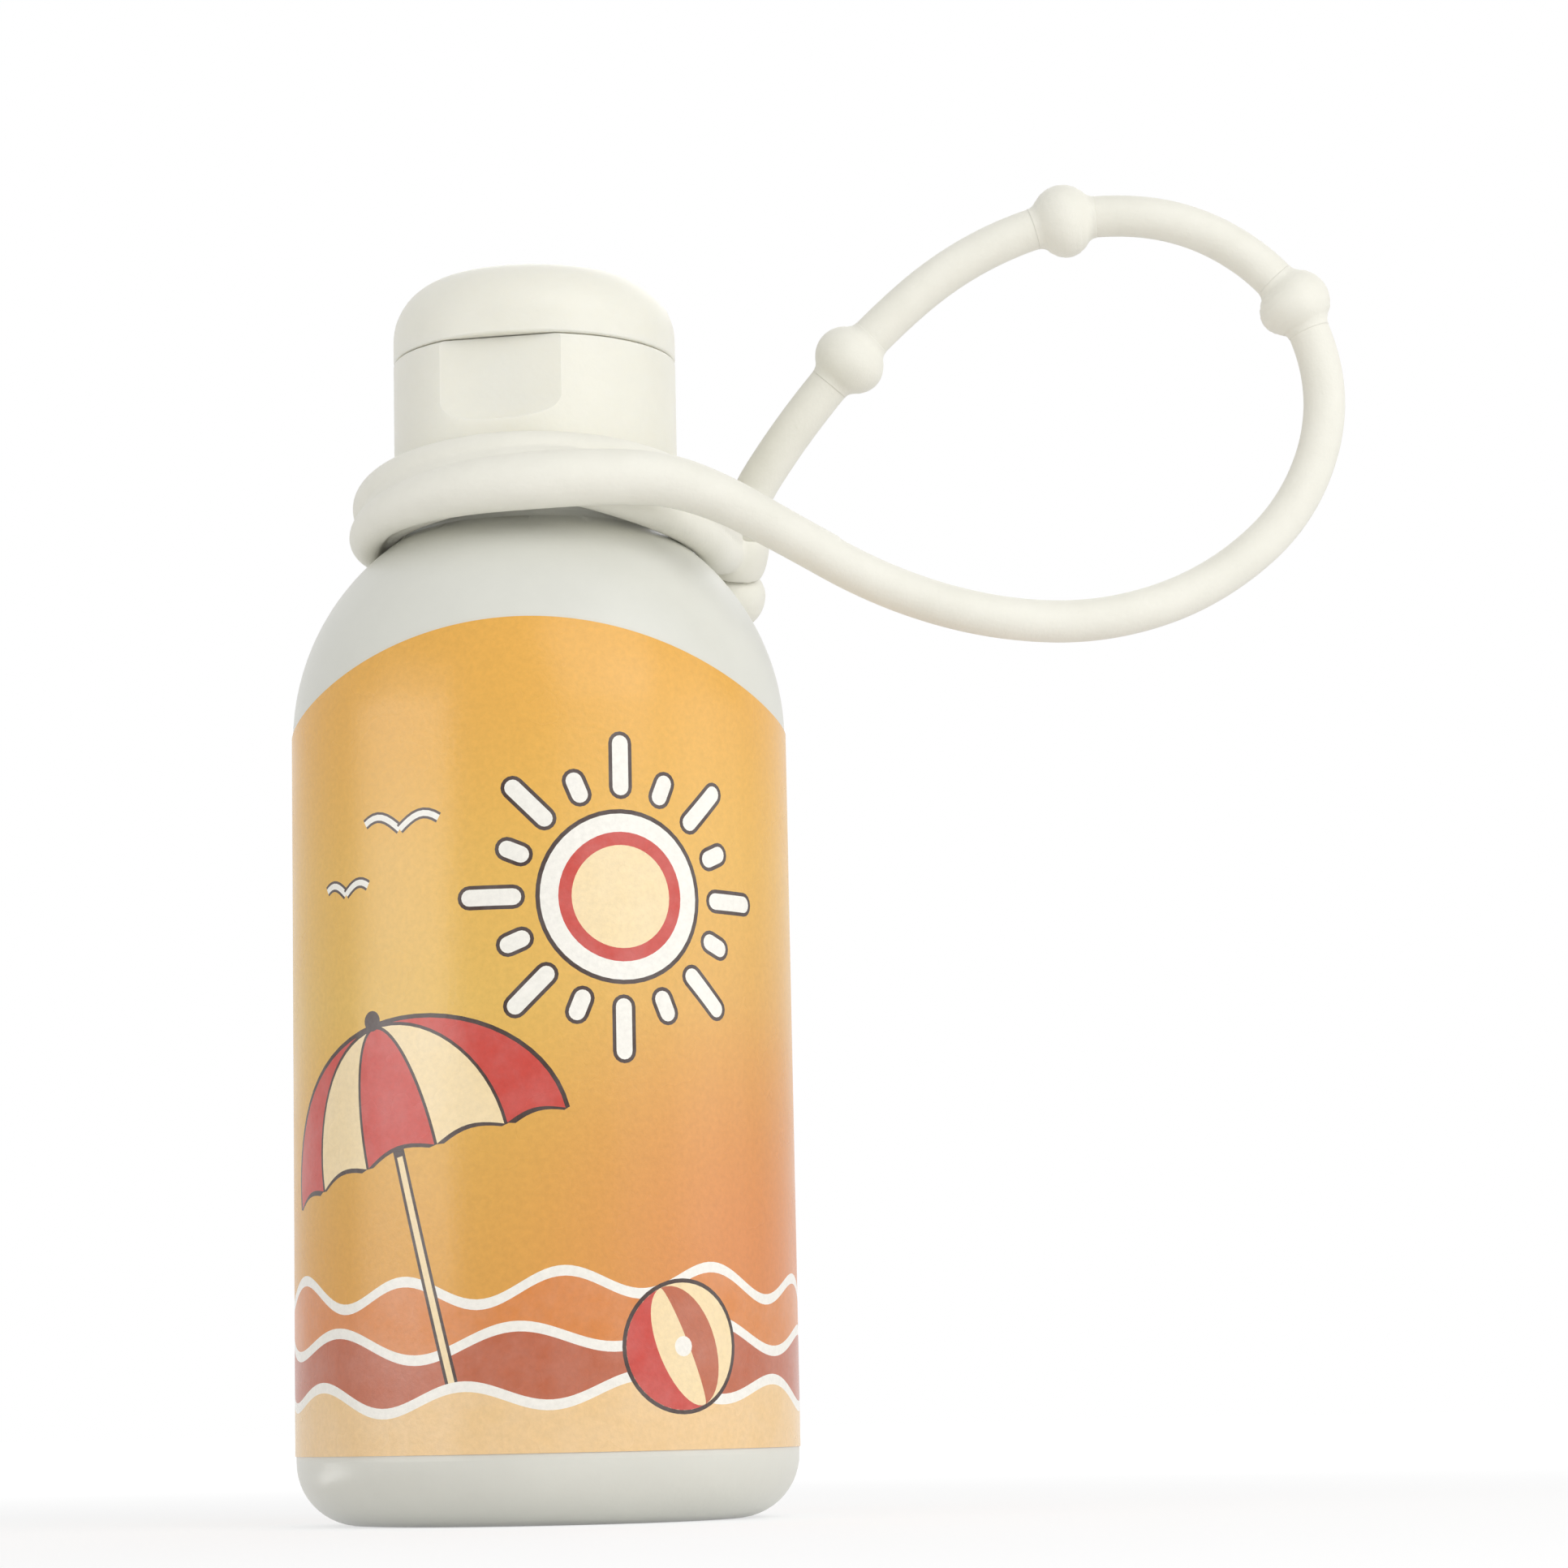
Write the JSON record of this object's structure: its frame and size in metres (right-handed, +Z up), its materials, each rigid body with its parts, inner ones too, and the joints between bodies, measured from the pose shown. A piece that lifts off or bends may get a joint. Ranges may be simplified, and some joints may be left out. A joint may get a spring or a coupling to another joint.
{
  "type": "sunscreen bottle",
  "caption": "Small round lotion bottle with a rounded shoulder, arched wrap label, flip-top screw cap and a silicone hanging loop with stop balls round its neck.",
  "frame": {"origin": "middle of the base on the bottle's axis, in the plane that the bottle stands on", "axes": "+Z up along the bottle's axis, -Y towards the label's front, +X towards the hanging loop"},
  "size_m": [0.076, 0.035, 0.0952],
  "materials": {
    "bottle": "satin moulded",
    "label": "printed film",
    "seal": "soft foam",
    "cap": "satin moulded",
    "strap": "matte silicone"
  },
  "bodies": {
    "bottle": {"bottle_shell": "bottle", "wrap_label": "label"},
    "seal": {"seal_ring": "seal"},
    "cap": {"cap_base": "cap", "hinge_web": "cap"},
    "lid": {"flip_lid": "cap"},
    "strap": {"neck_ring": "strap", "loop_strand": "strap", "stop_ball_1": "strap", "stop_ball_2": "strap", "stop_ball_3": "strap", "end_ball": "strap"}
  },
  "joints": [
    {"name": "cap_lift", "type": "slide", "parent": "bottle", "child": "seal", "axis": [0, 0, 1], "range_m": [0, 0.01]},
    {"name": "cap_turn", "type": "hinge", "parent": "seal", "child": "cap", "pos_m": [0, 0, 0.0784], "axis": [0, 0, 1], "range_deg": [0, 1441]},
    {"name": "lid_flip", "type": "hinge", "parent": "cap", "child": "lid", "pos_m": [0.00222, 0.01047, 0.08196], "axis": [-0.9781, 0.2079, 0], "range_deg": [0, 130]},
    {"name": "strap_swivel", "type": "hinge", "parent": "bottle", "child": "strap", "pos_m": [0, 0, 0.07201], "axis": [0, 0, 1], "continuous": true}
  ],
  "couplings": [
    {"joint": "cap_turn", "follows": "cap_lift", "rad_per_m": 2513.3}
  ]
}
